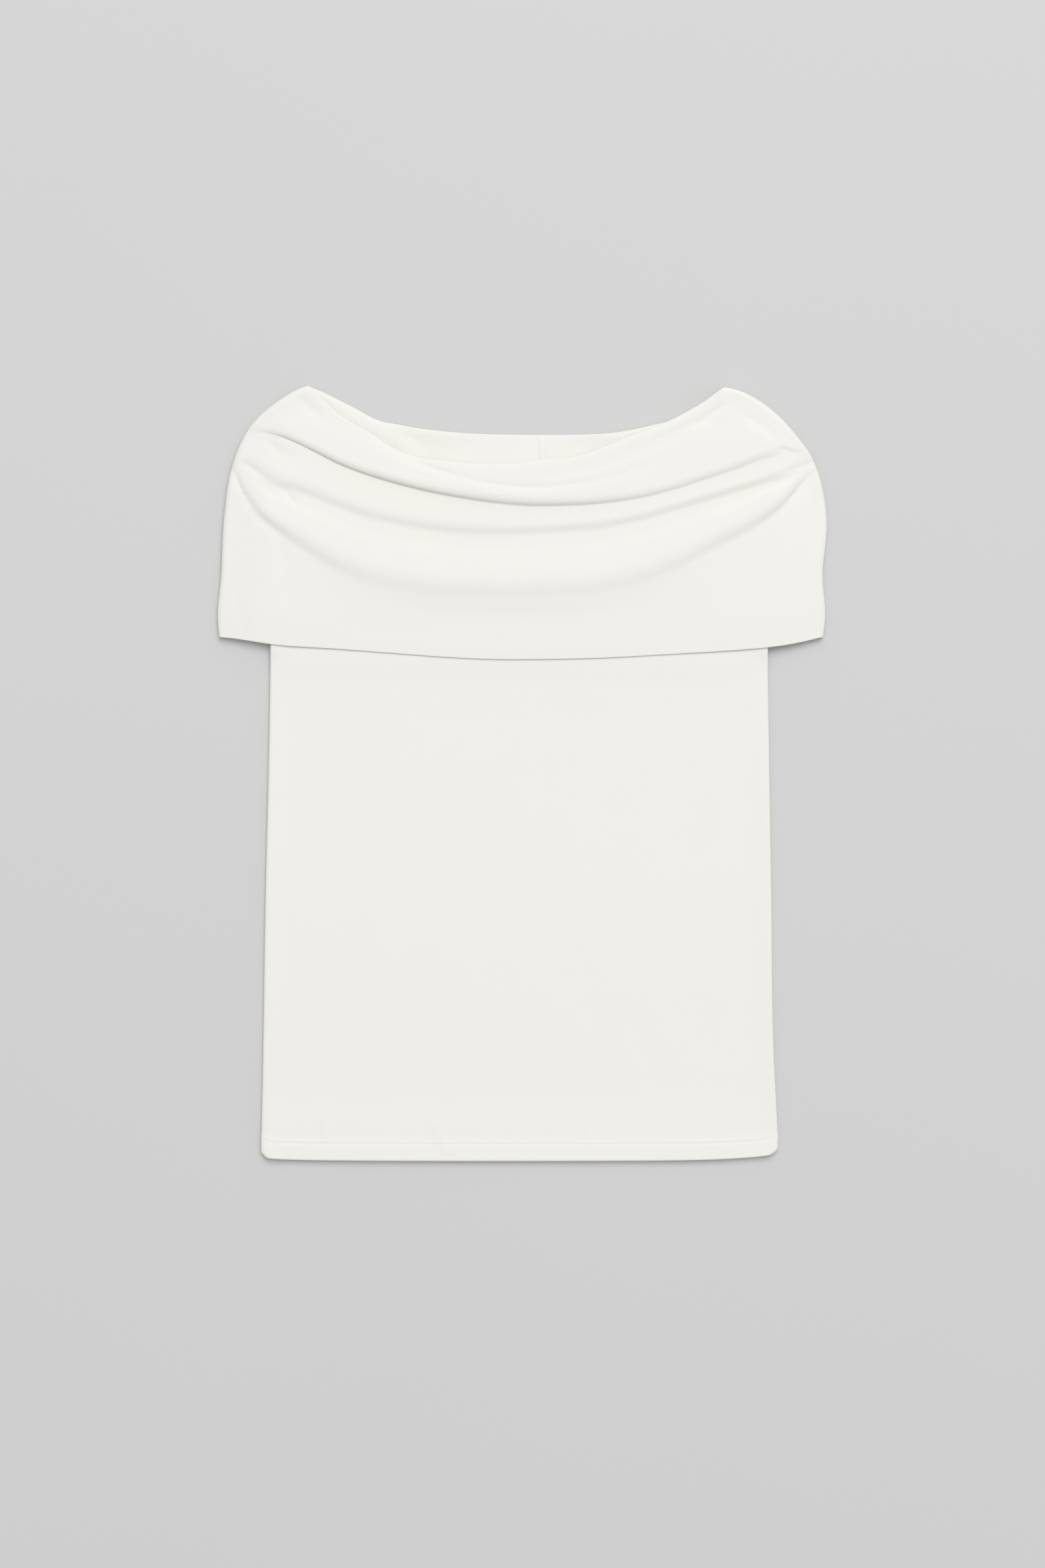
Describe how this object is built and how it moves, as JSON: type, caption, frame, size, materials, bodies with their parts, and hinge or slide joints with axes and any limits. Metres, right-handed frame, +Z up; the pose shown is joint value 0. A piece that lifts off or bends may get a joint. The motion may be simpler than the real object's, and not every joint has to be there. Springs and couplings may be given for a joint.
{
  "type": "off-shoulder top",
  "caption": "Sleeveless off-shoulder jersey top laid flat, with a plain tube body, a stitched hem and a wide draped collar that folds over the neck.",
  "frame": {"origin": "middle of the garment's box, on the surface that it lies on", "axes": "+X to the right seen from above with the neck away from the viewer, +Y from the hem to the neck, +Z up from the surface it lies on"},
  "size_m": [0.4565, 0.5807, 0.0157],
  "materials": {
    "body_jersey": "soft fine-knit jersey, off-white, matt",
    "collar_jersey": "soft fine-knit jersey, doubled, off-white, matt"
  },
  "bodies": {
    "root": {"back_panel": "body_jersey", "front_panel": "body_jersey", "collar": "collar_jersey"}
  },
  "joints": []
}
